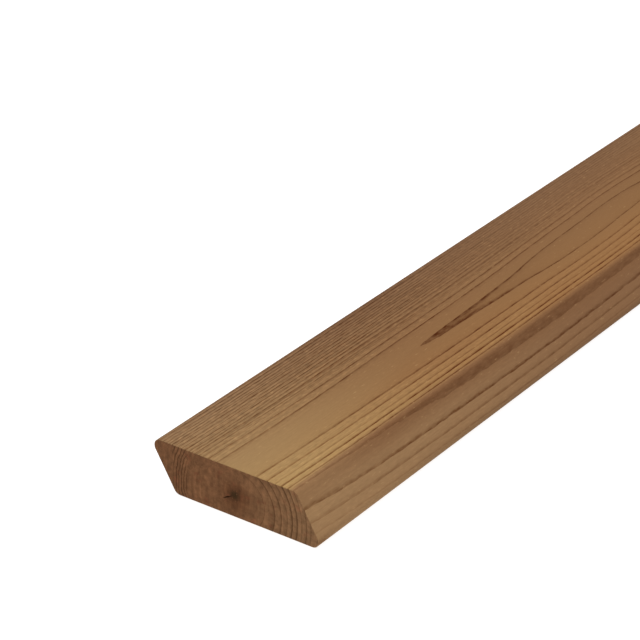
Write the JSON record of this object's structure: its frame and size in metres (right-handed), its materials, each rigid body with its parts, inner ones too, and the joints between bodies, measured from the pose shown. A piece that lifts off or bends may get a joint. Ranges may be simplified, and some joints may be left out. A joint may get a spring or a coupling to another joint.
{
  "type": "heat-treated wood cladding board",
  "caption": "Planed heat-treated wood board of parallelogram section with slanted long edges, rounded arrises and square-cut ends, fixed to battens as open-jointed facade cladding.",
  "frame": {"origin": "middle of the board's box on the ground, under the middle of its length", "axes": "+Y along the length, +Z from the back face to the front face, +X across the width, towards the edge that overhangs at the back face"},
  "size_m": [0.0758, 1.8, 0.021],
  "materials": {
    "heat_treated_wood": "planed, uncoated, matt, golden brown with darker end grain"
  },
  "bodies": {
    "root": {"cladding_board": "heat_treated_wood"}
  },
  "joints": []
}
